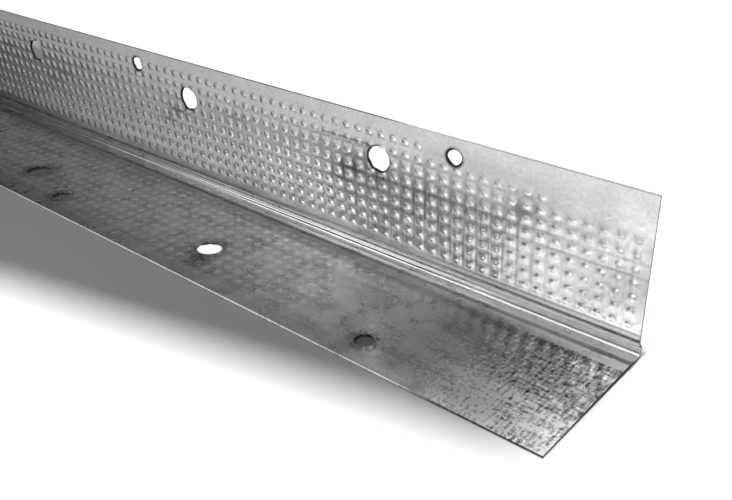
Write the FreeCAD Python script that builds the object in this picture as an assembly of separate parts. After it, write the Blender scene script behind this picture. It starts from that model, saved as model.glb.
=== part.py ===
"""Ceiling wall angle: one length of roll-formed galvanised steel, two legs with a beaded corner.

Millimetres. X runs along the length, Y towards the wall behind the upright leg, Z up.
The origin is at the middle of the length and of the width, on the plane that the bead rests on.
The section has axes of its own, "out" into the room and "up". Both are zero at the inner corner,
where the planes of the two legs' inner faces meet.
"""
import math
import os
from collections import namedtuple

import FreeCAD
import Part
from FreeCAD import Vector

# Stock
LENGTH = 3000.0
LEG_ANGLE = 83.0  # degrees between the legs, under square so that they press on the wall and the board
LEG_WIDTH = 24.7  # of the upright leg, from the inner corner to its free edge
FLAT_EXTRA = 1.8  # how much wider the flat leg is
SHEET = 0.3

# Corner bead, pressed outwards past both legs
BEAD_RADIUS = 1.2  # outside radius of its nose
BEAD_BEHIND = 1.0  # how far the nose stands past the upright leg's outer face
BEAD_BELOW = 0.5  # how far it stands past the flat leg's outer face
BEAD_REACH = 2.7  # from the inner corner to where a leg is flat again

# Punched holes, in lines that are equally far from the inner corner on both legs
SCREW_HOLE = 4.5  # diameter
SCREW_EDGE = 7.1  # from the upright leg's free edge
NAIL_HOLE = 3.0  # diameter
NAIL_EDGE = 3.1  # from the upright leg's free edge
FIRST_NAIL = 30.0  # from the +X end
NAIL_PITCH = 72.5  # length of a cell, from one nail hole to the next
SCREW_TO_NAIL = 14.0  # in a cell with a pair of screw holes
PAIR_CYCLE = 3  # cells from one pair to the next pair in the same leg
UPRIGHT_PAIR_CELL = 0
FLAT_PAIR_CELL = 1

NOSE_INSIDE = BEAD_RADIUS - SHEET
CORNER = math.radians(LEG_ANGLE)

# A leg's direction from the inner corner and its inner face's normal, both in the section's axes
Leg = namedtuple("Leg", "along normal width bead_proud pair_cell")
UPRIGHT = Leg(
    (math.cos(CORNER), math.sin(CORNER)),
    (math.sin(CORNER), -math.cos(CORNER)),
    LEG_WIDTH,
    BEAD_BEHIND,
    UPRIGHT_PAIR_CELL,
)
FLAT = Leg((1.0, 0.0), (0.0, 1.0), LEG_WIDTH + FLAT_EXTRA, BEAD_BELOW, FLAT_PAIR_CELL)


def nose_height(leg):
    """The height of the nose's centre over a leg's inner face."""
    return NOSE_INSIDE - leg.bead_proud


def nose_centre():
    """The nose's centre in the section, at its height over both inner faces."""
    up = nose_height(FLAT)
    out = (nose_height(UPRIGHT) + up * math.cos(CORNER)) / math.sin(CORNER)
    return out, up


def place(along, out, up):
    """A point of the part, from its distance to the +X end and its place in the section."""
    reach_back = BEAD_RADIUS - nose_centre()[0]
    middle_of_width = (FLAT.width - reach_back) / 2
    return Vector(LENGTH / 2 - along, middle_of_width - out, up + SHEET + BEAD_BELOW)


def on_leg(leg, reach, height):
    """A point of the section, from its distance to the inner corner and its height over a leg."""
    return tuple(reach * a + height * n for a, n in zip(leg.along, leg.normal))


def bead_turn(leg, is_front):
    """The arc by which a leg turns away from the room, tangent to the leg and to the nose.

    Returns its start, middle and end in the section, on one face of the sheet.
    """
    centre = nose_centre()
    nose_reach = centre[0] * leg.along[0] + centre[1] * leg.along[1]
    rise = BEAD_REACH - nose_reach
    height = nose_height(leg)
    turn_front = (rise**2 + height**2 - NOSE_INSIDE**2) / (2 * leg.bead_proud)
    angle = math.atan2(rise, height + turn_front)
    radius = turn_front if is_front else turn_front - SHEET
    return [
        on_leg(leg, BEAD_REACH - radius * math.sin(share * angle), radius * math.cos(share * angle) - turn_front)
        for share in (0.0, 0.5, 1.0)
    ]


def nose_tip(is_front):
    """The point of the nose on the line that halves the corner."""
    radius = NOSE_INSIDE if is_front else BEAD_RADIUS
    out, up = nose_centre()
    return out - radius * math.cos(CORNER / 2), up - radius * math.sin(CORNER / 2)


def face_edges(is_front):
    """The edges of one face of the sheet, from the upright leg's free edge to the flat leg's."""
    height = 0.0 if is_front else -SHEET
    rows = []
    for leg in (UPRIGHT, FLAT):
        points = [on_leg(leg, leg.width, height)] + bead_turn(leg, is_front)
        rows.append([place(0.0, *point) for point in points])
    (free_u, start_u, middle_u, end_u), (free_f, start_f, middle_f, end_f) = rows
    return [
        Part.LineSegment(free_u, start_u).toShape(),
        Part.Arc(start_u, middle_u, end_u).toShape(),
        Part.Arc(end_u, place(0.0, *nose_tip(is_front)), end_f).toShape(),
        Part.Arc(end_f, middle_f, start_f).toShape(),
        Part.LineSegment(start_f, free_f).toShape(),
    ]


def cut_edge(leg):
    """The square-cut free edge of a leg."""
    inner = place(0.0, *on_leg(leg, leg.width, 0.0))
    outer = place(0.0, *on_leg(leg, leg.width, -SHEET))
    return Part.LineSegment(inner, outer).toShape()


def rolled_angle():
    """The plain rolled angle: its section, drawn out along the length."""
    edges = face_edges(True) + [cut_edge(FLAT)] + face_edges(False) + [cut_edge(UPRIGHT)]
    outline = Part.Wire(Part.__sortEdges__(edges))
    return Part.Face(outline).extrude(Vector(-LENGTH, 0, 0))


def screw_stations(pair_cell):
    """Distances of one leg's screw holes from the +X end: one in mid cell, or a pair near its nails."""
    stations = []
    for cell in range(-1, math.ceil(LENGTH / NAIL_PITCH)):
        start = FIRST_NAIL + cell * NAIL_PITCH
        if cell % PAIR_CYCLE == pair_cell:
            stations += [start + SCREW_TO_NAIL, start + NAIL_PITCH - SCREW_TO_NAIL]
        else:
            stations.append(start + NAIL_PITCH / 2)
    return stations


def nail_stations():
    """Distances of the nail holes from the +X end, the same in both legs."""
    count = math.ceil((LENGTH - FIRST_NAIL) / NAIL_PITCH)
    return [FIRST_NAIL + cell * NAIL_PITCH for cell in range(count)]


def punches(leg, stations, edge, diameter):
    """Round punches through a leg, leaving out any that would break through a cut end."""
    radius = diameter / 2
    in_front = on_leg(leg, LEG_WIDTH - edge, SHEET)
    direction = Vector(0, leg.normal[0], -leg.normal[1])
    tools = []
    for along in stations:
        if along - radius < SHEET or along + radius > LENGTH - SHEET:
            continue
        tools.append(Part.makeCylinder(radius, 3 * SHEET, place(along, *in_front), direction))
    return tools


def wall_angle():
    """The angle with all its holes punched."""
    tools = []
    for leg in (UPRIGHT, FLAT):
        tools += punches(leg, screw_stations(leg.pair_cell), SCREW_EDGE, SCREW_HOLE)
        tools += punches(leg, nail_stations(), NAIL_EDGE, NAIL_HOLE)
    return rolled_angle().cut(tools)


os.makedirs("parts", exist_ok=True)
angle = wall_angle().Solids[0]
angle.exportStep("parts/wall_angle.step")
box = angle.BoundBox
print("wall_angle valid", angle.isValid(), "volume mm3 %.1f" % angle.Volume, "faces", len(angle.Faces))
print("box mm", [round(v, 3) for v in (box.XMin, box.YMin, box.ZMin, box.XMax, box.YMax, box.ZMax)])
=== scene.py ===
"""Ceiling wall angle: the galvanised sheet with its rolled dimples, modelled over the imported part.

Metres. X runs along the length, Y towards the wall behind the upright leg, Z up.
"""

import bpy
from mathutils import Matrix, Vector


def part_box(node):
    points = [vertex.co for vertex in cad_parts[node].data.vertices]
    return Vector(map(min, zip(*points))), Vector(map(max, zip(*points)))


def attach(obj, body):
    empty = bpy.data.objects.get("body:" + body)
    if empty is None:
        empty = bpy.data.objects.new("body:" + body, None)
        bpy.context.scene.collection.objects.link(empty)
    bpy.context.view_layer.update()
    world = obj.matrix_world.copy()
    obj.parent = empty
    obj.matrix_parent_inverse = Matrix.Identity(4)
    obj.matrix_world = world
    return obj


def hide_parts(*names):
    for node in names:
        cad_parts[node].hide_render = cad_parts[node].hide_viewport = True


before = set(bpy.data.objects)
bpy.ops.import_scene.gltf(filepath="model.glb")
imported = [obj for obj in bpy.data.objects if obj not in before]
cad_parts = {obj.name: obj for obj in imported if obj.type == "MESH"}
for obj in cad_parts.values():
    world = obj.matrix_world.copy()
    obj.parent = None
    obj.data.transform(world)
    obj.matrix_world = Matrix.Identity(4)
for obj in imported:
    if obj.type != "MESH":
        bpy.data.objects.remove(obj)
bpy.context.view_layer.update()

import math
from collections import namedtuple

import bmesh
import bpy
from bpy.props import FloatProperty, FloatVectorProperty, IntProperty, PointerProperty
from mathutils import Vector

bl_info = {
    "name": "Ceiling wall angle",
    "version": (1, 0, 0),
    "blender": (4, 5, 0),
    "location": "View3D > Sidebar > Wall angle",
    "description": "A dimpled galvanised wall angle on a pale floor",
    "category": "Add Mesh",
}

NODE = "wall_angle"
LOW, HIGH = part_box(NODE)
MM = 0.001


def length(name, description, millimetres):
    """A property for a length, given in millimetres and kept in metres."""
    default = millimetres * MM
    return FloatProperty(name=name, description=description, default=default, unit="LENGTH", precision=5)


def number(name, description, default):
    """A property for a plain number: a share, a slope or a level."""
    return FloatProperty(name=name, description=description, default=default)


def count(name, description, default):
    """A property for a whole number."""
    return IntProperty(name=name, description=description, default=default)


def colour(name, description, default):
    """A property for a colour."""
    return FloatVectorProperty(
        name=name, description=description, default=default, subtype="COLOR", min=0, max=1
    )


def offset(name, description, default):
    """A property for a place in metres, from the inner corner at the near end."""
    return FloatVectorProperty(name=name, description=description, default=default, subtype="TRANSLATION")


class AngleSizes(bpy.types.PropertyGroup):
    """Sizes of the rolled section and its punched holes."""

    leg_angle: FloatProperty(
        name="Leg angle", description="Between the two legs", default=math.radians(83.0), subtype="ANGLE"
    )
    leg_width: length("Leg width", "From the inner corner to the upright leg's free edge", 24.7)
    flat_extra: length("Flat leg extra", "How much wider the flat leg is", 1.8)
    sheet: length("Sheet", "Thickness of the sheet", 0.3)
    bead_radius: length("Bead radius", "Outside radius of the bead's nose", 1.2)
    bead_behind: length("Bead behind", "How far the nose stands past the upright leg", 1.0)
    bead_below: length("Bead below", "How far the nose stands past the flat leg", 0.5)
    bead_reach: length("Bead reach", "From the inner corner to where a leg is flat again", 2.7)
    screw_hole: length("Screw hole", "Diameter of the large holes", 4.5)
    screw_line: length("Screw line", "From the inner corner to the large holes", 17.6)
    nail_hole: length("Nail hole", "Diameter of the small holes", 3.0)
    nail_line: length("Nail line", "From the inner corner to the small holes", 21.6)
    lip_start: length("Lip start", "From the inner face to where the upright leg's holes narrow", 0.05)
    lip_depth: length("Lip depth", "Depth over which they narrow by a full lip, past the sheet", 0.4)
    screw_lip: length("Screw lip", "How far the large holes narrow over the lip's depth", 0.45)
    nail_lip: length("Nail lip", "How far the small holes narrow over the lip's depth", 0.62)
    first_nail: length("First nail hole", "From the near end", 30.0)
    nail_pitch: length("Nail pitch", "From one small hole to the next", 72.5)
    screw_to_nail: length("Screw to nail", "In a stretch with a pair of large holes", 14.0)
    pair_cycle: count("Pair cycle", "Stretches from one pair to the next", 3)


class DimpleSizes(bpy.types.PropertyGroup):
    """Sizes of the dimples rolled into both legs."""

    along: length("Pitch along", "From one dimple to the next along the length", 2.3)
    across: length("Pitch across", "From one row to the next", 2.18)
    first_row: length("First row", "From the inner corner to the middle of the first row", 4.6)
    rows: count("Rows", "Rows of dimples in each leg", 9)
    end_margin: length("End margin", "From the near end to the first dimple's cell", 0.7)
    foot: length("Foot", "Width of a dimple at its foot", 1.3)
    flank: length("Flank", "Width of a dimple's steep flank", 0.26)
    rise: length("Rise", "How high the flank rises", 0.115)
    shoulder: length("Shoulder", "Width of the dimple's rounded shoulder", 0.22)
    crown: length("Crown", "How high the shoulder rises over the flank", 0.05)
    end_share: number("End share", "Height of the first dimples, as a share", 0.5)
    end_length: length("End length", "Length of the stretch with lower dimples", 20.0)
    worn_share: number("Worn share", "Height of the worn dimples, as a share", 0.1)
    worn_from: length("Worn from", "Where the worn dimples of the upright leg start, at the near end", 18.6)
    worn_slope: number("Worn slope", "Rise of the line that they start at", 0.1)
    flat_rise: length("Flat leg rise", "Height of the dimples in the flat leg", 0.033)
    pit: length("Pit", "Depth of the dimples' pits on the outer side", 0.15)
    fine_columns: count("Fine columns", "Columns from the near end with fully shaped dimples", 78)
    cuts: count("Cuts", "Pieces that the far stretch is cut into, twice over, for its dimples", 35)


class SteelLook(bpy.types.PropertyGroup):
    """Colours and finish of the zinc-coated sheet."""

    zinc: colour("Zinc", "Colour of the zinc", (0.83, 0.835, 0.84))
    cut: colour("Cut steel", "Colour of the cut edges", (0.06, 0.06, 0.06))
    roughness: FloatProperty(
        name="Roughness", description="Roughness of the zinc", default=0.16, subtype="FACTOR", min=0, max=1
    )


class StageLook(bpy.types.PropertyGroup):
    """Floor, light and camera."""

    floor: colour("Floor", "Colour of the floor", (0.8, 0.8, 0.8))
    # painted shade: the floor is darker under the part
    under: number("Under", "Floor under the part, as a share of its colour", 0.42)
    # the backdrop glows for the metal's reflections and darkens along the length: painted light
    backdrop: number("Backdrop", "Floor as the metal mirrors it, at the near end", 1.0)
    backdrop_fade: length("Backdrop fade", "Length over which the mirrored floor darkens", 200.0)
    # the floor glows white under this hole: painted light where it lies in shade
    white_hole: FloatVectorProperty(
        name="White hole",
        description="Place along and across the flat leg, and radius, of the hole that shows white backdrop",
        default=(66.35 * MM, 17.5 * MM, 2.0 * MM),
        precision=5,
    )
    ambient: number("Ambient", "Strength of the surrounding light", 0.02)
    key_place: offset("Key place", "Overhead lamp, from the near corner", (-0.01, -0.02, 2.5))
    key_size: FloatVectorProperty(
        name="Key size",
        description="Length and width of the overhead lamp",
        size=2,
        default=(0.09, 0.08),
        unit="LENGTH",
    )
    key_power: FloatProperty(
        name="Key power", description="Power of the overhead lamp", default=70.0, unit="POWER"
    )
    fill: number("Fill", "Level of the lamps round the object", 0.85)
    flag_height: length("Flag height", "Of the card that shades the floor", 300.0)
    shade_start: length("Shade start", "From the near end to the flag's shade", 4.0)
    shade_front: length("Shade front", "From the inner corner to the front of the shade, at its start", 27.0)
    shade_back: length("Shade back", "How far the shade reaches behind the inner corner, at its start", 5.8)
    back_slope: number("Back slope", "Rise of the shade's back line", 0.184)
    shade_length: length("Shade length", "Length of the shade", 250.0)
    shade_slope: number("Shade slope", "Rise of the shade's front line", 0.243)
    camera_place: offset("Camera place", "From the near corner", (0.03039347, -0.0979884, 0.06293851))
    camera_turn: FloatVectorProperty(
        name="Camera turn",
        description="Rotation of the camera",
        default=[math.radians(a) for a in (65.45988836, -2.16608163, 38.66801811)],
        subtype="EULER",
    )
    camera_lens: number("Lens", "Focal length in millimetres", 41.3378)
    camera_shift: FloatVectorProperty(
        name="Shift", description="Shift of the picture", size=2, default=(-0.0161, -0.0447)
    )


# Steps of the bead's three arcs, from the upright leg to the flat leg, and sides of a punched hole
BEAD_STEPS = (5, 10, 4)
HOLE_SIDES = 24

# Share of a dimple's foot that is cut off at each corner, and share of its height that its tip adds
CORNER_SHARE = 0.3
TIP_SHARE = 0.3

BARE = 1  # number of the cut steel among the sheet's materials
SLACK = 0.05 * MM  # room for rounding in tests of a place
FACING = 0.9  # least part of a normal in a direction, for a face that looks that way

FLOOR_SIZE = 16.0
FLOOR_BLUR = 0.2 * MM  # of the edges of what the floor shows under the part
SPOT_BLUR = 0.3 * MM  # of the white spot's edge
BEHIND = (2 * MM, 4 * MM)  # behind the inner corner, where the painted shade under the part fades out
SENSOR = 36.0  # width of the camera's sensor in millimetres


# Lamps round the object: azimuth from +X and elevation in degrees, width and height in metres, radiance
LAMP_DISTANCE = 1.5
LAMPS = (
    ("front", 247.0, 47.5, (0.6, 0.46), 4.1),
    ("corner", 258.0, 27.0, (0.3, 0.22), 7.4),
    ("left", 215.0, 43.0, (0.45, 0.3), 2.5),
    ("side", 210.5, 27.0, (0.4, 0.3), 0.8),
    ("low", 230.0, 5.0, (0.52, 0.26), 2.0),
    ("back", 112.0, 32.0, (0.9, 0.9), 1.6),
)

Leg = namedtuple("Leg", "along normal width bead_proud pair_cell turn")

# Areas where the zinc is painted brighter, or darker where the change is negative. Most are painted
# highlights and painted shade that stand in for its reflections; the scratch is its own mark. Each has
# a start, an end and a blur along the length, and the same across its leg from the inner corner,
# all in millimetres.
Area = namedtuple("Area", "start end blur low high soft change")
BEFORE, PAST = -99.0, 9999.0
UPRIGHT_AREAS = (
    Area(BEFORE, 7.5, 1.5, 4.8, 10.5, 0.8, 0.25),  # painted highlight on the lower rows at the near end
    Area(6.0, 35.0, 3.0, 11.0, 22.5, 1.5, -0.12),  # painted shade on the upper half before the first screw hole
    Area(18.0, 35.0, 3.0, 4.6, 11.0, 1.0, -0.12),  # painted shade on the lower rows before the first screw hole
    Area(46.0, 70.0, 6.0, 4.5, 15.0, 1.5, 0.2),  # painted highlight on the rows past the first screw hole
    Area(50.0, 68.0, 4.0, 3.0, 4.6, 0.4, 0.7),  # painted highlight on the strip over the bead
    Area(95.0, PAST, 10.0, 3.0, 4.6, 0.4, -0.3),  # painted shade on the strip over the bead, further along
    Area(BEFORE, 34.0, 4.0, 3.2, 4.4, 0.3, -0.42),  # painted shade on the strip over the bead, near the end
    Area(BEFORE, 9.0, 4.0, 14.5, 19.0, 2.0, -0.25),  # painted shade on rows at the near end
    Area(BEFORE, 40.0, 20.0, 24.63, PAST, 0.03, -0.6),  # painted shade on the free edge near the end
    Area(45.0, 55.0, 1.0, 19.4, 19.8, 0.15, -0.5),  # scratch
)
FLAT_AREAS = (
    Area(18.0, 36.0, 6.0, 16.0, PAST, 3.0, -0.16),  # painted shade on the front half, past the scuffs
    Area(24.0, 42.0, 4.0, 23.5, PAST, 1.0, -0.22),  # painted shade on the front border by the first nail hole
    Area(BEFORE, 13.0, 8.0, 19.5, PAST, 3.5, 0.32),  # painted highlight on the front corner
    Area(7.0, 15.0, 3.0, 16.0, 24.0, 2.0, 0.3),  # painted highlight behind the front corner
    Area(BEFORE, 7.0, 2.0, 4.6, 8.5, 1.0, 0.4),  # painted highlight on the back corner
    Area(26.0, 48.0, 4.0, 7.5, 17.0, 2.0, 0.15),  # painted highlight on the middle, before the first screw hole
    Area(52.0, 85.0, 8.0, 4.3, 7.5, 0.6, -0.2),  # painted shade on the first rows beside the bead
    Area(BEFORE, 9.0, 5.0, 2.9, 4.7, 0.3, 0.4),  # painted highlight on the strip beside the bead at the near end
    Area(BEFORE, 29.0, 7.0, 1.65, 2.7, 0.15, -0.3),  # painted shade in the fold beside the bead, near the end
    Area(BEFORE, PAST, 1.0, 1.9, 2.8, 0.3, -0.4),  # painted shade in the fold beside the bead
)


class Section:
    """The section's frame: the inner corner at the near end, and the two legs that start there."""

    def __init__(self, sizes):
        angle = sizes.leg_angle
        self.nose_inside = sizes.bead_radius - sizes.sheet
        nose_up = self.nose_inside - sizes.bead_below
        nose_out = (self.nose_inside - sizes.bead_behind + nose_up * math.cos(angle)) / math.sin(angle)
        corner_y = HIGH.y - sizes.bead_radius + nose_out
        corner_z = LOW.z + sizes.sheet + sizes.bead_below
        self.corner = Vector((HIGH.x, corner_y, corner_z))
        self.nose = self.corner + Vector((0, -nose_out, nose_up))
        self.reach = sizes.bead_reach
        self.below = sizes.bead_below
        self.upright = Leg(
            Vector((0, -math.cos(angle), math.sin(angle))),
            Vector((0, -math.sin(angle), -math.cos(angle))),
            sizes.leg_width,
            sizes.bead_behind,
            0,
            math.pi - angle,
        )
        flat_width = sizes.leg_width + sizes.flat_extra
        self.flat = Leg(Vector((0, -1, 0)), Vector((0, 0, 1)), flat_width, sizes.bead_below, 1, 0.0)

    def point(self, leg, from_end, reach, height=0.0):
        """A point, from its distance to the near end, to the inner corner and over a leg's inner face."""
        return self.corner + Vector((-from_end, 0, 0)) + leg.along * reach + leg.normal * height

    def spot(self, leg, point):
        """A point's reach from the inner corner and its height over a leg's inner face."""
        offset = point - self.corner
        return offset.dot(leg.along), offset.dot(leg.normal)

    def bead_turn(self, leg):
        """The centre and angle of the arc by which a leg turns into the bead."""
        nose_reach, nose_height = self.spot(leg, self.nose)
        rise = self.reach - nose_reach
        radius = (rise**2 + nose_height**2 - self.nose_inside**2) / (2 * leg.bead_proud)
        return self.point(leg, 0.0, self.reach, -radius), math.atan2(rise, nose_height + radius)


def screw_stations(sizes, leg, cells):
    """Distances from the near end of a leg's screw holes: one in mid cell, or a pair near its nails."""
    screws = []
    for cell in cells:
        start = sizes.first_nail + cell * sizes.nail_pitch
        if cell % sizes.pair_cycle == leg.pair_cell:
            screws += [start + sizes.screw_to_nail, start + sizes.nail_pitch - sizes.screw_to_nail]
        else:
            screws.append(start + sizes.nail_pitch / 2)
    return screws


def edit_mode(piece, kind):
    """Opens a piece in edit mode, with vertices, edges or faces to select."""
    bpy.ops.object.select_all(action="DESELECT")
    bpy.context.view_layer.objects.active = piece
    piece.select_set(True)
    bpy.ops.object.mode_set(mode="EDIT")
    bpy.ops.mesh.select_mode(type=kind)


def pick_edges(piece, test):
    """Selects the edges whose two ends both pass a test of their place."""
    bpy.ops.mesh.select_all(action="DESELECT")
    mesh = bmesh.from_edit_mesh(piece.data)
    for edge in mesh.edges:
        if all(test(vertex.co) for vertex in edge.verts):
            edge.select_set(True)
    bmesh.update_edit_mesh(piece.data)


def pick_faces(piece, test):
    """Selects the faces that pass a test of their middle and normal."""
    bpy.ops.mesh.select_all(action="DESELECT")
    mesh = bmesh.from_edit_mesh(piece.data)
    for face in mesh.faces:
        if test(face.calc_center_median(), face.normal):
            face.select_set(True)
    bmesh.update_edit_mesh(piece.data)


def draw_out(offset):
    """Extrudes the selected edges."""
    bpy.ops.mesh.extrude_edges_move(TRANSFORM_OT_translate={"value": tuple(offset)})


def spin(centre, angle, steps):
    """Draws the selected edges round an arc about the X direction, right-handed."""
    bpy.ops.mesh.spin(steps=steps, angle=-angle, center=tuple(centre), axis=(1, 0, 0))


def close(a, b, within=0.02 * MM):
    """Whether two lengths are the same but for rounding."""
    return abs(a - b) < within


class Wire:
    """A shader socket whose arithmetic adds Math nodes to its material."""

    def __init__(self, look, socket):
        self.look = look
        self.socket = socket

    def math(self, operation, *others):
        """The result of a Math node on this wire and others."""
        return self.look.add("ShaderNodeMath", {"operation": operation}, dict(enumerate((self, *others))))

    def __add__(self, other):
        return self.math("ADD", other)

    def __sub__(self, other):
        return self.math("SUBTRACT", other)

    def __rsub__(self, other):
        return self.look.value(other) - self

    def __mul__(self, other):
        return self.math("MULTIPLY", other)

    def __truediv__(self, other):
        return self.math("DIVIDE", other)

    def __pow__(self, other):
        return self.math("POWER", other)

    __radd__ = __add__
    __rmul__ = __mul__

    def between(self, low, high, blur):
        """1 between two limits and 0 beyond them, with blurred edges."""
        return self.ramp(low - blur, low + blur) * self.ramp(high + blur, high - blur)

    def ramp(self, low, high):
        """0 below low and 1 above high, with a smooth rise between."""
        settings = {"interpolation_type": "SMOOTHSTEP"}
        inputs = {"Value": self, "From Min": low, "From Max": high}
        return self.look.add("ShaderNodeMapRange", settings, inputs)


class Look:
    """A procedural material or world under construction."""

    def __init__(self, tree):
        self.tree = tree
        tree.nodes.clear()

    def add(self, kind, settings=None, inputs=None, output=0):
        """Adds a node: its settings first, then its sockets' values or links. Returns one output."""
        node = self.tree.nodes.new(kind)
        for name, value in (settings or {}).items():
            setattr(node, name, value)
        for name, value in (inputs or {}).items():
            if isinstance(value, Wire):
                self.tree.links.new(value.socket, node.inputs[name])
            else:
                node.inputs[name].default_value = value
        return Wire(self, node.outputs[output]) if len(node.outputs) else node

    def value(self, number):
        """A number as a wire."""
        return self.add("ShaderNodeMath", {"operation": "ADD"}, {0: number, 1: 0.0})

    def place(self):
        """The object coordinates of the shaded point, as three wires."""
        point = self.add("ShaderNodeTexCoord", output="Object")
        split = self.add("ShaderNodeSeparateXYZ", None, {0: point}).socket.node
        return [Wire(self, output) for output in split.outputs]

    def grain(self, along, across, size, seed, detail=2.0):
        """Noise about 0, mostly within 0.25, with a grain of the given size along and across the sheet."""
        inputs = {0: along / size[0], 1: across / size[1], 2: seed}
        spot = self.add("ShaderNodeCombineXYZ", None, inputs)
        return self.add("ShaderNodeTexNoise", None, {"Vector": spot, "Scale": 1.0, "Detail": detail}) - 0.5

    def tint(self, colour, share):
        """A colour times a share."""
        settings = {"data_type": "RGBA", "blend_type": "MULTIPLY"}
        return self.add("ShaderNodeMix", settings, {"Factor": 1.0, 6: (*colour, 1.0), 7: share}, output=2)

    def output(self, shader, kind="ShaderNodeOutputMaterial"):
        """Links the finished shader to the output."""
        self.add(kind, None, {"Surface": shader})


def new_look(name):
    """An empty material and the look to build it with."""
    material = bpy.data.materials.new(name)
    material.use_nodes = True
    return material, Look(material.node_tree)


def grey(level):
    """An opaque grey."""
    return (level, level, level, 1.0)


def sheet_place(look, section):
    """The distance from the near end and the reach on each leg from the inner corner, in millimetres."""
    x, y, z = look.place()
    along = (section.corner.x - x) / MM
    flat = (section.corner.y - y) / MM
    over = (z - section.corner.z) / MM
    upright = flat * -section.upright.along.y + over * section.upright.along.z
    return along, upright, flat


class Zinc:
    """What the zinc's marks are drawn with: the place on the sheet in millimetres, and its grains.

    The methods for marks and painted light return them as a share of the zinc's plain colour.
    """

    def __init__(self, look, section, dimples):
        along, upright, flat = sheet_place(look, section)
        self.along, self.upright, self.flat = along, upright, flat
        self.is_upright = (upright - flat).ramp(-0.2, 0.2)
        self.is_flat = 1.0 - self.is_upright
        self.reach = reach = upright.math("MAXIMUM", flat)
        self.spangle = look.grain(along, reach, (4.0, 4.0), 1.0, 4.0)
        self.speckle = look.grain(along, reach, (0.5, 0.6), 2.0, 1.0)
        self.down_streaks = look.grain(along, reach, (0.5, 6.0), 3.0, 1.5)
        self.end_streaks = look.grain(along, reach, (0.4, 2.2), 4.0, 1.0)
        self.long_streaks = look.grain(along, reach, (6.0, 0.5), 5.0, 1.5)
        self.bead_lines = look.grain(along, reach - self.is_flat * 9.0, (50.0, 0.22), 6.0, 3.0)
        first_edge = dimples.first_row - dimples.across / 2
        self.to_column = (along - dimples.end_margin / MM).math("PINGPONG", dimples.along / 2 / MM)
        self.to_row = (reach - first_edge / MM).math("PINGPONG", dimples.across / 2 / MM)
        self.scuffed = along.between(-9.0, 17.0, 6.0) * flat.between(4.6, 30.0, 0.4) * self.is_flat

    def light_and_scratch_areas(self):
        """Broad areas of painted highlight and painted shade, and a scratch."""
        shade = 1.0
        legs = (self.upright, self.is_upright, UPRIGHT_AREAS), (self.flat, self.is_flat, FLAT_AREAS)
        for reach, is_leg, areas in legs:
            for area in areas:
                inside = self.along.between(area.start, area.end, area.blur)
                inside = inside * reach.between(area.low, area.high, area.soft)
                shade = shade * (1.0 + inside * is_leg * area.change)
        return shade

    def upright_marks_and_shade(self):
        """A darker streaked patch, painted shade between dimples and above the bead, and end streaks."""
        along, upright, is_upright = self.along, self.upright, self.is_upright
        down_streaks = self.down_streaks
        # a darker patch with streaks before the first screw hole
        dark_patch = along.between(20.0, 50.0, 6.0) * upright.between(4.0, 16.0, 1.5)
        shade = 1.0 - dark_patch * is_upright * (0.3 - down_streaks * 1.1)
        # painted shade in the lines between the dimples' columns and rows, broken by streaks
        columns = self.to_column.ramp(0.5, 0.1) * along.between(14.0, 55.0, 7.0)
        columns = columns * upright.between(4.0, 15.5, 1.5)
        shade = shade * (1.0 - columns * is_upright * (0.3 - down_streaks))
        rows = self.to_row.ramp(0.45, 0.1) * along.between(-9.0, 55.0, 9.0) * upright.between(4.5, 15.5, 1.0)
        rows = rows * along.ramp(10.0, 25.0).math("MAXIMUM", upright.ramp(10.5, 11.5))
        shade = shade * (1.0 - rows * is_upright * (0.22 - self.long_streaks * 0.9))
        at_end = along.between(1.0, 6.5, 1.5) * upright.between(4.5, 17.0, 1.5)
        shade = shade * (1.0 + at_end * is_upright * down_streaks)
        # painted shade in the bend above the bead, deeper near the end
        fold = upright.between(2.4, 3.6, 0.15) * is_upright
        return shade * (1.0 - fold * (along.ramp(40.0, 20.0) * 0.4 + 0.2))

    def flat_marks_and_light(self):
        """Scuffs and darker patches at the near end, painted shade by the bead and painted dimple light."""
        along, flat, is_flat = self.along, self.flat, self.is_flat
        scuffs = self.end_streaks * 1.7 + self.long_streaks * 1.1 + self.speckle * 1.2
        # darker towards the near end, more so away from the front edge
        end_darkening = along.between(-9.0, 13.0, 8.0) * flat.between(4.6, 30.0, 0.4) * is_flat
        end_darkening = end_darkening * (flat.ramp(22.0, 14.0) * 0.26 + 0.22)
        shade = 1.0 + self.scuffed * scuffs - end_darkening
        # a darker patch at the near end, between the bead and the middle of the leg
        patch_darkening = along.between(-9.0, 24.0, 5.0) * flat.ramp(4.4, 5.2) * flat.ramp(20.0, 12.0)
        shade = shade * (1.0 - patch_darkening * is_flat * 0.25)
        # painted shade in the fold beside the bead
        fold_shade = along.ramp(28.0, 48.0) * 0.4 - along.ramp(85.0, 125.0) * 0.3
        shade = shade * (1.0 - flat.between(1.8, 4.3, 0.4) * is_flat * fold_shade)
        # painted highlights on the dimples' tops and painted shade between them, further along
        dimple_light = self.to_column.ramp(0.2, 0.95) * self.to_row.ramp(0.2, 0.9) - 0.3
        dimple_light = dimple_light * along.ramp(30.0, 60.0) * flat.between(4.0, 24.0, 1.0)
        shade = shade * (1.0 + is_flat * dimple_light * 0.42)
        return shade * (1.0 + is_flat * (self.spangle * 0.6 + self.speckle * 0.4))

    def bead_lines_and_light(self):
        """Fine lines along the bead, lying in bands of painted highlight and painted shade."""
        along, upright, flat = self.along, self.upright, self.flat
        nose = upright.between(-0.25, 0.5, 0.08) * self.is_upright
        ridge = upright.between(0.4, 1.55, 0.15) * self.is_upright
        brim = upright.between(0.7, 2.3, 0.15) * self.is_upright
        lower = flat.between(-0.6, 1.0, 0.15) * self.is_flat
        crest = flat.between(0.25, 1.4, 0.15) * self.is_flat
        side = flat.between(0.3, 1.8, 0.2) * self.is_flat
        at_end = along.ramp(26.0, 18.0)
        far = along.ramp(56.0, 68.0)
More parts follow.
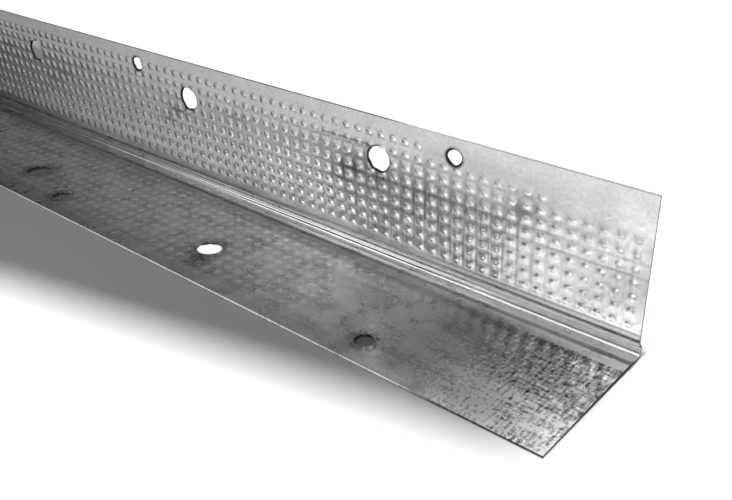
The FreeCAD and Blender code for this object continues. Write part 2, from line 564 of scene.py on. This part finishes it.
        # painted highlights and painted shade in bands across the bead, standing in for its reflections
        level = along.ramp(8.0, 32.0) * 0.3 - 0.1 + at_end * (brim * 0.3 - nose * 0.42 + crest * 0.25)
        level = level - (1.0 - at_end) * ridge * 0.32 + (1.0 - far) * lower * 0.25
        level = level - far * (side * 0.5 + brim * 0.2) - along.ramp(88.0, 105.0) * lower * 0.3
        lines = self.bead_lines * (along.ramp(14.0, 30.0) * 1.6 + 1.2)
        return 1.0 + self.reach.ramp(2.2, 1.8) * (lines + level)

    def hole_distance(self, stations, cycle, line):
        """The distance to the nearest hole of a row that repeats along the length."""
        nearest = None
        for station in stations:
            off = (self.along - station / MM).math("PINGPONG", cycle / 2 / MM)
            nearest = off if nearest is None else nearest.math("MINIMUM", off)
        return (nearest**2.0 + (self.reach - line / MM) ** 2.0) ** 0.5

    def hole_rims_and_shade(self, sizes, section):
        """Dark rims round the upright leg's holes, and painted shade round the flat leg's and beside one."""
        cycle = sizes.pair_cycle * sizes.nail_pitch
        nails = self.hole_distance([sizes.first_nail], sizes.nail_pitch, sizes.nail_line)
        upright_screws, flat_screws = (
            self.hole_distance(screw_stations(sizes, leg, range(sizes.pair_cycle)), cycle, sizes.screw_line)
            for leg in (section.upright, section.flat)
        )
        rims = nails.between(1.2, 1.75, 0.12) + upright_screws.between(2.0, 2.4, 0.12)
        shade = 1.0 - rims * self.is_upright * 0.4
        # painted shade round the flat leg's holes, speckled
        painted_hole_shade = nails.ramp(3.5, 1.5).math("MAXIMUM", flat_screws.ramp(4.5, 2.2))
        shade = shade * (1.0 - painted_hole_shade * self.is_flat * (0.5 - self.speckle * 1.6))
        # a spot of painted shade beside one of the flat leg's holes
        to_shade_spot = ((self.along - 64.6) ** 2.0 + (self.flat - 21.6) ** 2.0) ** 0.5
        return shade * (1.0 - to_shade_spot.ramp(3.2, 1.0) * self.is_flat * (0.5 - self.speckle * 1.2))

    def edge_light(self, edge):
        """Painted shade on the flat leg's front edge near the end, a wider painted highlight further on."""
        along, flat = self.along, self.flat
        wider = flat.ramp(edge - 0.4, edge - 0.3) * flat.ramp(edge, edge - 0.05) * along.ramp(30.0, 50.0)
        front = flat.ramp(edge - 0.05, edge) + wider
        # painted shade near the end, painted highlight further along
        return 1.0 + front * (along.ramp(14.0, 24.0) * 1.1 - 0.9)


def zinc_material(steel, sizes, dimples, section):
    """Galvanised sheet: satin zinc with a spangle, streaks, darker patches, a scratch, and painted light and
    shade.
    """
    material, look = new_look("galvanised sheet")
    zinc = Zinc(look, section, dimples)
    along, flat, is_upright = zinc.along, zinc.flat, zinc.is_upright
    shade = zinc.spangle * 0.4 + zinc.speckle * 0.3 + 1.0
    # most of these are painted highlights and painted shade that stand in for the zinc's reflections
    shade = shade * zinc.light_and_scratch_areas()
    shade = shade * zinc.upright_marks_and_shade()
    shade = shade * zinc.flat_marks_and_light()
    shade = shade * zinc.bead_lines_and_light()
    shade = shade * zinc.hole_rims_and_shade(sizes, section)
    shade = shade * zinc.edge_light(section.flat.width / MM)
    bend = zinc.reach.ramp(2.6, 2.0) * along.ramp(40.0, 20.0) * is_upright
    polish = along.between(42.0, 80.0, 8.0) * zinc.upright.between(4.0, 11.0, 2.0) * is_upright
    matt = (zinc.end_streaks * 0.6 + zinc.long_streaks * 0.8 + zinc.speckle * 0.4).ramp(0.0, 0.28)
    matt = matt * zinc.scuffed * flat.ramp(3.0, 19.0) * 0.7
    inputs = {
        "Base Color": look.tint(steel.zinc, shade.math("MAXIMUM", 0.04).math("MINIMUM", 1.18)),
        "Roughness": zinc.is_flat * 0.12 + zinc.spangle * 0.1 + bend * 0.16 - polish * 0.07 + steel.roughness,
        "Metallic": 1.0 - matt,
    }
    look.output(look.add("ShaderNodeBsdfPrincipled", None, inputs))
    return material


def cut_material(steel):
    """Bare steel where the sheet was cut or punched."""
    material, look = new_look("cut steel")
    inputs = {"Base Color": (*steel.cut, 1.0), "Roughness": 0.5, "Metallic": 1.0}
    look.output(look.add("ShaderNodeBsdfPrincipled", None, inputs))
    return material


class WALLANGLE_OT_sheet(bpy.types.Operator):
    """Rolls the dimpled sheet with its punched holes in place of the plain part"""

    bl_idname = "wall_angle.sheet"
    bl_label = "Rolled sheet"

    def execute(self, context):
        self.sizes = context.scene.wall_angle_sizes
        self.dimples = context.scene.wall_angle_dimples
        self.section = Section(self.sizes)
        self.field_start = self.dimples.first_row - self.dimples.across / 2
        self.field_end = self.field_start + self.dimples.rows * self.dimples.across
        self.fine_end = HIGH.x - self.dimples.end_margin - self.dimples.fine_columns * self.dimples.along
        piece = self.roll()
        self.thicken(piece)
        self.raise_dimples(piece)
        self.raise_far_dimples(piece)
        steel = context.scene.wall_angle_steel
        piece.data.materials.append(zinc_material(steel, self.sizes, self.dimples, self.section))
        piece.data.materials.append(cut_material(steel))
        self.punch(piece)
        self.finish(piece)
        return {"FINISHED"}

    def in_field(self, leg, point, height=0.0, margin=0.0):
        """Whether a point lies on the dimpled stretch of a leg, at a height over its inner face."""
        reach, over = self.section.spot(leg, point)
        return self.field_start - margin < reach < self.field_end + margin and close(over, height)

    def dimple_share(self, leg, point):
        """The height of the dimple in whose cell a point of a leg lies, as a share of a full one."""
        dimples = self.dimples
        reach, _ = self.section.spot(leg, point)
        along = (HIGH.x - dimples.end_margin - point.x) // dimples.along * dimples.along
        if leg == self.section.flat:
            return dimples.worn_share if along < dimples.end_length else 1.0
        across = self.field_start + ((reach - self.field_start) // dimples.across + 0.5) * dimples.across
        if across > dimples.worn_from + dimples.worn_slope * along:
            return dimples.worn_share
        return dimples.end_share if along < dimples.end_length else 1.0

    def pick_cells(self, piece, leg, is_near, height=0.0, share=None):
        """Selects the cells of a leg's dimples, in the near stretch or the far one."""
        near_x = HIGH.x - self.dimples.end_margin

        def is_cell(point, normal):
            if is_near != (self.fine_end < point.x < near_x):
                return False
            if share is not None and share != self.dimple_share(leg, point):
                return False
            return point.x < near_x and self.in_field(leg, point, height)

        pick_faces(piece, is_cell)

    def roll(self):
        """The near stretch of the inner face: a grid of cells on each leg and the bead between them."""
        section = self.section
        dimples = self.dimples
        upright, flat = section.upright, section.flat
        near_x = HIGH.x - dimples.end_margin
        fine_length = dimples.fine_columns * dimples.along
        middle = (self.field_start + self.field_end) / 2
        bpy.ops.mesh.primitive_grid_add(
            x_subdivisions=dimples.fine_columns,
            y_subdivisions=dimples.rows,
            size=1.0,
            location=section.point(upright, dimples.end_margin + fine_length / 2, middle),
            rotation=(upright.turn, 0, 0),
        )
        piece = bpy.context.object
        piece.name = "rolled_angle"
        piece.scale = (fine_length, self.field_end - self.field_start, 1.0)
        bpy.ops.object.transform_apply(location=True, rotation=True, scale=True)
        edit_mode(piece, "EDGE")
        pick_edges(piece, lambda point: close(section.spot(upright, point)[0], self.field_end))
        draw_out(upright.along * (upright.width - self.field_end))
        pick_edges(piece, lambda point: close(section.spot(upright, point)[0], self.field_start))
        draw_out(upright.along * (section.reach - self.field_start))
        upright_centre, upright_angle = section.bead_turn(upright)
        flat_centre, flat_angle = section.bead_turn(flat)
        nose_angle = math.pi - self.sizes.leg_angle + upright_angle + flat_angle
        spin(upright_centre, upright_angle, BEAD_STEPS[0])
        spin(section.nose, -nose_angle, BEAD_STEPS[1])
        spin(flat_centre, flat_angle, BEAD_STEPS[2])
        draw_out(flat.along * (self.field_start - section.reach))
        for _ in range(dimples.rows):
            draw_out(flat.along * dimples.across)
        draw_out(flat.along * (flat.width - self.field_end))
        pick_edges(piece, lambda point: close(point.x, near_x))
        draw_out((dimples.end_margin, 0, 0))
        pick_edges(piece, lambda point: close(point.x, self.fine_end))
        draw_out((LOW.x - self.fine_end, 0, 0))
        bpy.ops.mesh.select_all(action="SELECT")
        bpy.ops.mesh.normals_make_consistent(inside=False)
        bpy.ops.mesh.select_mode(type="FACE")
        self.pick_cells(piece, flat, True)
        mesh = bmesh.from_edit_mesh(piece.data)
        if sum(face.normal.z for face in mesh.faces if face.select) < 0:
            bpy.ops.mesh.select_all(action="SELECT")
            bpy.ops.mesh.flip_normals()
        bpy.ops.object.mode_set(mode="OBJECT")
        return piece

    def thicken(self, piece):
        """Gives the sheet its thickness, on the outer side."""
        bpy.ops.object.modifier_add(type="SOLIDIFY")
        solidify = piece.modifiers[-1]
        solidify.thickness = self.sizes.sheet
        solidify.offset = -1.0
        bpy.ops.object.modifier_apply(modifier=solidify.name)

    def raise_dimples(self, piece):
        """Presses a round dimple up in every cell of the near stretch, with a pit behind it."""
        dimples = self.dimples
        foot_margin = (min(dimples.along, dimples.across) - dimples.foot) / 2
        edit_mode(piece, "FACE")
        for share in (1.0, dimples.end_share, dimples.worn_share):
            self.pick_cells(piece, self.section.upright, True, 0.0, share)
            bpy.ops.mesh.inset(thickness=foot_margin, use_individual=True)
            bpy.ops.mesh.bevel(
                affect="VERTICES", offset=CORNER_SHARE * dimples.foot, offset_type="OFFSET", segments=1
            )
            bpy.ops.mesh.select_all(action="DESELECT")
            bpy.ops.mesh.select_face_by_sides(number=8, type="EQUAL")
            bpy.ops.mesh.inset(thickness=dimples.flank, depth=share * dimples.rise, use_individual=True)
            bpy.ops.mesh.inset(thickness=dimples.shoulder, depth=share * dimples.crown, use_individual=True)
            bpy.ops.mesh.poke(offset=TIP_SHARE * share * dimples.crown)
        for share in (1.0, dimples.worn_share):
            self.pick_cells(piece, self.section.flat, True, 0.0, share)
            height = share * dimples.flat_rise
            bpy.ops.mesh.inset(thickness=foot_margin, use_individual=True)
            bpy.ops.mesh.inset(thickness=dimples.flank, depth=(1 - TIP_SHARE) * height, use_individual=True)
            bpy.ops.mesh.poke(offset=TIP_SHARE * height)
        for leg in (self.section.upright, self.section.flat):
            self.pick_cells(piece, leg, True, -self.sizes.sheet)
            bpy.ops.mesh.poke(offset=-dimples.pit)
        bpy.ops.object.mode_set(mode="OBJECT")

    def raise_far_dimples(self, piece):
        """Cuts the far stretch of the inner face into cells and raises a plain dimple in each."""
        dimples = self.dimples
        legs = (self.section.upright, self.section.flat)
        edit_mode(piece, "EDGE")
        far_start = self.fine_end + SLACK
        span = self.fine_end - LOW.x
        for _ in range(2):
            bpy.ops.mesh.select_all(action="DESELECT")
            mesh = bmesh.from_edit_mesh(piece.data)
            for edge in mesh.edges:
                first, second = (vertex.co for vertex in edge.verts)
                if abs(first.x - second.x) < 0.9 * span or max(first.x, second.x) > far_start:
                    continue
                if any(self.in_field(leg, first, 0.0, SLACK) for leg in legs):
                    edge.select_set(True)
            bmesh.update_edit_mesh(piece.data)
            bpy.ops.mesh.subdivide(number_cuts=dimples.cuts - 1)
            span /= dimples.cuts
        bpy.ops.mesh.select_mode(type="FACE")
        for leg, height in zip(legs, (dimples.rise + dimples.crown, dimples.flat_rise)):
            self.pick_cells(piece, leg, False)
            bpy.ops.mesh.poke(offset=height)
        bpy.ops.object.mode_set(mode="OBJECT")

    def stations(self, leg):
        """Distances from the near end of a leg's screw holes and nail holes."""
        sizes = self.sizes
        cells = range(-1, math.ceil((HIGH.x - LOW.x) / sizes.nail_pitch))
        nails = [sizes.first_nail + cell * sizes.nail_pitch for cell in cells]
        return screw_stations(sizes, leg, cells), nails

    def punches(self):
        """Round punches for all holes in one object, left open in edit mode."""
        sizes = self.sizes
        total = HIGH.x - LOW.x
        high = 2 * sizes.sheet
        cutter = None
        for leg, low in ((self.section.upright, -sizes.lip_start), (self.section.flat, -2 * sizes.sheet)):
            screws, nails = self.stations(leg)
            holes = [(station, sizes.screw_line, sizes.screw_hole / 2) for station in screws]
            holes += [(station, sizes.nail_line, sizes.nail_hole / 2) for station in nails]
            for station, line, radius in holes:
                if station - radius < sizes.sheet or station + radius > total - sizes.sheet:
                    continue
                bpy.ops.mesh.primitive_cylinder_add(
                    vertices=HOLE_SIDES,
                    radius=radius,
                    depth=high - low,
                    location=self.section.point(leg, station, line, (high + low) / 2),
                    rotation=(leg.turn, 0, 0),
                )
                if cutter is None:
                    cutter = bpy.context.object
                    bpy.ops.object.transform_apply(location=True, rotation=True)
                    edit_mode(cutter, "VERT")
        return cutter

    def narrow(self, cutter, line, lip):
        """Narrows the punches of one line of the upright leg to the back."""
        upright = self.section.upright

        def is_end(point, normal):
            return close(self.section.spot(upright, point)[0], line) and normal.dot(upright.normal) < -FACING

        pick_faces(cutter, is_end)
        bpy.ops.mesh.inset(thickness=lip, depth=self.sizes.lip_depth, use_individual=True)

    def punch(self, piece):
        """Punches the holes of both legs. Those of the upright leg narrow to the back and show bare steel."""
        sizes = self.sizes
        cutter = self.punches()
        bpy.ops.mesh.select_mode(type="FACE")
        self.narrow(cutter, sizes.screw_line, sizes.screw_lip)
        self.narrow(cutter, sizes.nail_line, sizes.nail_lip)
        bpy.ops.object.mode_set(mode="OBJECT")
        for material in piece.data.materials:
            cutter.data.materials.append(material)
        for face in cutter.data.polygons:
            reach, _ = self.section.spot(self.section.upright, face.center)
            face.material_index = BARE if reach > sizes.bead_reach else 0
        bpy.ops.object.select_all(action="DESELECT")
        bpy.context.view_layer.objects.active = piece
        piece.select_set(True)
        bpy.ops.object.modifier_add(type="BOOLEAN")
        punch = piece.modifiers[-1]
        punch.object = cutter
        punch.operation = "DIFFERENCE"
        punch.solver = "MANIFOLD"
        punch.material_mode = "TRANSFER"
        bpy.ops.object.modifier_apply(modifier=punch.name)
        bpy.data.objects.remove(cutter)

    def finish(self, piece):
        """Shades the sheet, bares the steel of its cut ends and ties it to the part."""
        bpy.ops.object.shade_smooth_by_angle(angle=math.radians(50))
        bpy.ops.object.modifier_add(type="WEIGHTED_NORMAL")
        piece.modifiers[-1].keep_sharp = True
        bpy.ops.object.modifier_apply(modifier=piece.modifiers[-1].name)
        for face in piece.data.polygons:
            to_end = min(HIGH.x - face.center.x, face.center.x - LOW.x)
            if abs(face.normal.x) > FACING and to_end < SLACK:
                face.material_index = BARE
        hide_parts(NODE)
        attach(piece, "root")


class WALLANGLE_OT_stage(bpy.types.Operator):
    """Lays the floor and sets the light and the camera"""

    bl_idname = "wall_angle.stage"
    bl_label = "Stage"

    def execute(self, context):
        stage = context.scene.wall_angle_stage
        section = Section(context.scene.wall_angle_sizes)
        corner = section.corner
        self.lay_floor(stage, section)
        self.light(context.scene, stage, corner)
        self.aim_camera(context.scene, stage, corner)
        context.scene.view_settings.view_transform = "Standard"
        return {"FINISHED"}

    def lay_floor(self, stage, section):
        """A matt floor, tilted a little so that the bead and the flat leg's front edge both touch it."""
        nose_y = section.nose.y
        slope = section.below / (nose_y - section.corner.y + section.flat.width)
        bpy.ops.mesh.primitive_plane_add(
            size=FLOOR_SIZE, location=(0, 0, LOW.z + slope * nose_y), rotation=(-math.atan(slope), 0, 0)
        )
        floor = bpy.context.object
        floor.name = "floor"
        floor.data.materials.append(self.floor_material(stage, section, slope))

    def floor_material(self, stage, section, slope):
        """Keeps its shadows and painted shade under the part; glows for reflections and under one hole."""
        material, look = new_look("floor")
        corner, width = section.corner, section.flat.width
        x, y, _ = look.place()
        along = corner.x - x
        out = corner.y - y
        is_open = out.ramp(width, width + FLOOR_BLUR) + out.ramp(-BEHIND[0], -BEHIND[1])
        is_open = is_open.math("MAXIMUM", along.ramp(0.0, -FLOOR_BLUR))
        is_glossy = look.add("ShaderNodeLightPath", output="Is Glossy Ray")
        is_mirrored = is_glossy.math("MAXIMUM", look.add("ShaderNodeLightPath", output="Is Transmission Ray"))
        # the backdrop glows for the metal's reflections and darkens along the length: painted light
        level = (along / -stage.backdrop_fade).math("EXPONENT").math("MINIMUM", 1.0) * stage.backdrop
        # painted shade on the floor under the part
        shade = look.tint(stage.floor, is_open * (1.0 - stage.under) + stage.under)
        matt = look.add("ShaderNodeBsdfDiffuse", None, {"Color": shade})
        backdrop = look.add("ShaderNodeEmission", None, {"Color": grey(1.0), "Strength": level})
        surface = look.add("ShaderNodeMixShader", None, {0: is_mirrored * is_open, 1: matt, 2: backdrop})

        # a glowing white spot on the floor under one hole: painted light where it lies in shade
        eye = corner + Vector(stage.camera_place)
        hole_along, hole_reach, radius = stage.white_hole
        hole = section.point(section.flat, hole_along, hole_reach)
        floor_z = LOW.z + slope * (section.nose.y - hole.y)
        mark = hole + (hole - eye) * ((hole.z - floor_z) / (eye.z - hole.z))
        distance = ((x - mark.x) ** 2.0 + (y - mark.y) ** 2.0) ** 0.5
        is_spot = distance.ramp(radius + SPOT_BLUR, radius - SPOT_BLUR)
        is_seen = look.add("ShaderNodeLightPath", output="Is Camera Ray")
        white = look.add("ShaderNodeEmission", None, {"Color": grey(1.0), "Strength": 1.0})
        look.output(look.add("ShaderNodeMixShader", None, {0: is_seen * is_spot, 1: surface, 2: white}))
        return material

    def light(self, scene, stage, corner):
        """A dim surrounding, the overhead lamp with its card, and the lamps round the object."""
        world = bpy.data.worlds.new("surroundings")
        scene.world = world
        world.use_nodes = True
        look = Look(world.node_tree)
        surface = look.add("ShaderNodeBackground", None, {"Color": grey(1.0), "Strength": stage.ambient})
        look.output(surface, "ShaderNodeOutputWorld")
        key = corner + Vector(stage.key_place)
        self.lamp("key", key, corner, "ELLIPSE", stage.key_size, stage.key_power)
        for name, azimuth, elevation, size, radiance in LAMPS:
            turn, rise = math.radians(azimuth), math.radians(elevation)
            level = math.cos(rise)
            direction = Vector((level * math.cos(turn), level * math.sin(turn), math.sin(rise)))
            power = math.pi * size[0] * size[1] * radiance * stage.fill
            self.lamp(name, corner + direction * LAMP_DISTANCE, corner, "RECTANGLE", size, power)
        self.hang_flag(stage, corner, key)

    def lamp(self, name, place, target, shape, size, power):
        """An area lamp aimed at a point."""
        data = bpy.data.lights.new(name, "AREA")
        data.shape = shape
        data.size, data.size_y = size
        data.energy = power
        lamp = bpy.data.objects.new(name, data)
        lamp.visible_camera = False
        bpy.context.scene.collection.objects.link(lamp)
        lamp.location = place
        lamp.rotation_euler = (target - place).to_track_quat("-Z", "Y").to_euler()

    def hang_flag(self, stage, corner, key):
        """A black card under the overhead lamp, cut so that its shade falls where it is wanted."""
        end = stage.shade_start + stage.shade_length
        marks = [
            (stage.shade_start, -stage.shade_back),
            (end, -stage.shade_back - stage.back_slope * stage.shade_length),
            (stage.shade_start, stage.shade_front),
            (end, stage.shade_front + stage.shade_slope * stage.shade_length),
        ]
        bpy.ops.mesh.primitive_plane_add(size=1.0)
        flag = bpy.context.object
        flag.name = "flag"
        for vertex, (from_end, out) in zip(flag.data.vertices, marks):
            mark = Vector((corner.x - from_end, corner.y - out, LOW.z))
            vertex.co = mark + (key - mark) * (stage.flag_height / key.z)
        flag.visible_camera = False
        material, look = new_look("black card")
        look.output(look.add("ShaderNodeBsdfDiffuse", None, {"Color": grey(0.01)}))
        flag.data.materials.append(material)

    def aim_camera(self, scene, stage, corner):
        """The camera at the photo's viewing angle."""
        data = bpy.data.cameras.new("camera")
        data.sensor_fit = "HORIZONTAL"
        data.sensor_width = SENSOR
        data.lens = stage.camera_lens
        data.shift_x, data.shift_y = stage.camera_shift
        data.clip_start = 5 * MM
        data.clip_end = 100.0
        camera = bpy.data.objects.new("camera", data)
        scene.collection.objects.link(camera)
        camera.location = corner + Vector(stage.camera_place)
        camera.rotation_euler = stage.camera_turn
        scene.camera = camera


class WALLANGLE_PT_panel(bpy.types.Panel):
    """Lists the sizes, the finish and the steps"""

    bl_idname = "WALLANGLE_PT_panel"
    bl_label = "Wall angle"
    bl_space_type = "VIEW_3D"
    bl_region_type = "UI"
    bl_category = "Wall angle"

    def draw(self, context):
        for name in GROUPS:
            column = self.layout.column()
            group = getattr(context.scene, name)
            for key in group.bl_rna.properties.keys():
                if key not in ("rna_type", "name"):
                    column.prop(group, key)
        for operator in OPERATORS:
            self.layout.operator(operator.bl_idname)


GROUPS = {
    "wall_angle_sizes": AngleSizes,
    "wall_angle_dimples": DimpleSizes,
    "wall_angle_steel": SteelLook,
    "wall_angle_stage": StageLook,
}
OPERATORS = (WALLANGLE_OT_sheet, WALLANGLE_OT_stage)


def register():
    """Makes the groups, the operators and the panel known."""
    for kind in (*GROUPS.values(), *OPERATORS, WALLANGLE_PT_panel):
        bpy.utils.register_class(kind)
    for name, kind in GROUPS.items():
        setattr(bpy.types.Scene, name, PointerProperty(type=kind))


def unregister():
    """Takes them away again."""
    for name in GROUPS:
        delattr(bpy.types.Scene, name)
    for kind in reversed((*GROUPS.values(), *OPERATORS, WALLANGLE_PT_panel)):
        bpy.utils.unregister_class(kind)


def main():
    """Models the sheet and the stage."""
    register()
    bpy.ops.wall_angle.sheet()
    bpy.ops.wall_angle.stage()


if __name__ == "__main__":
    main()
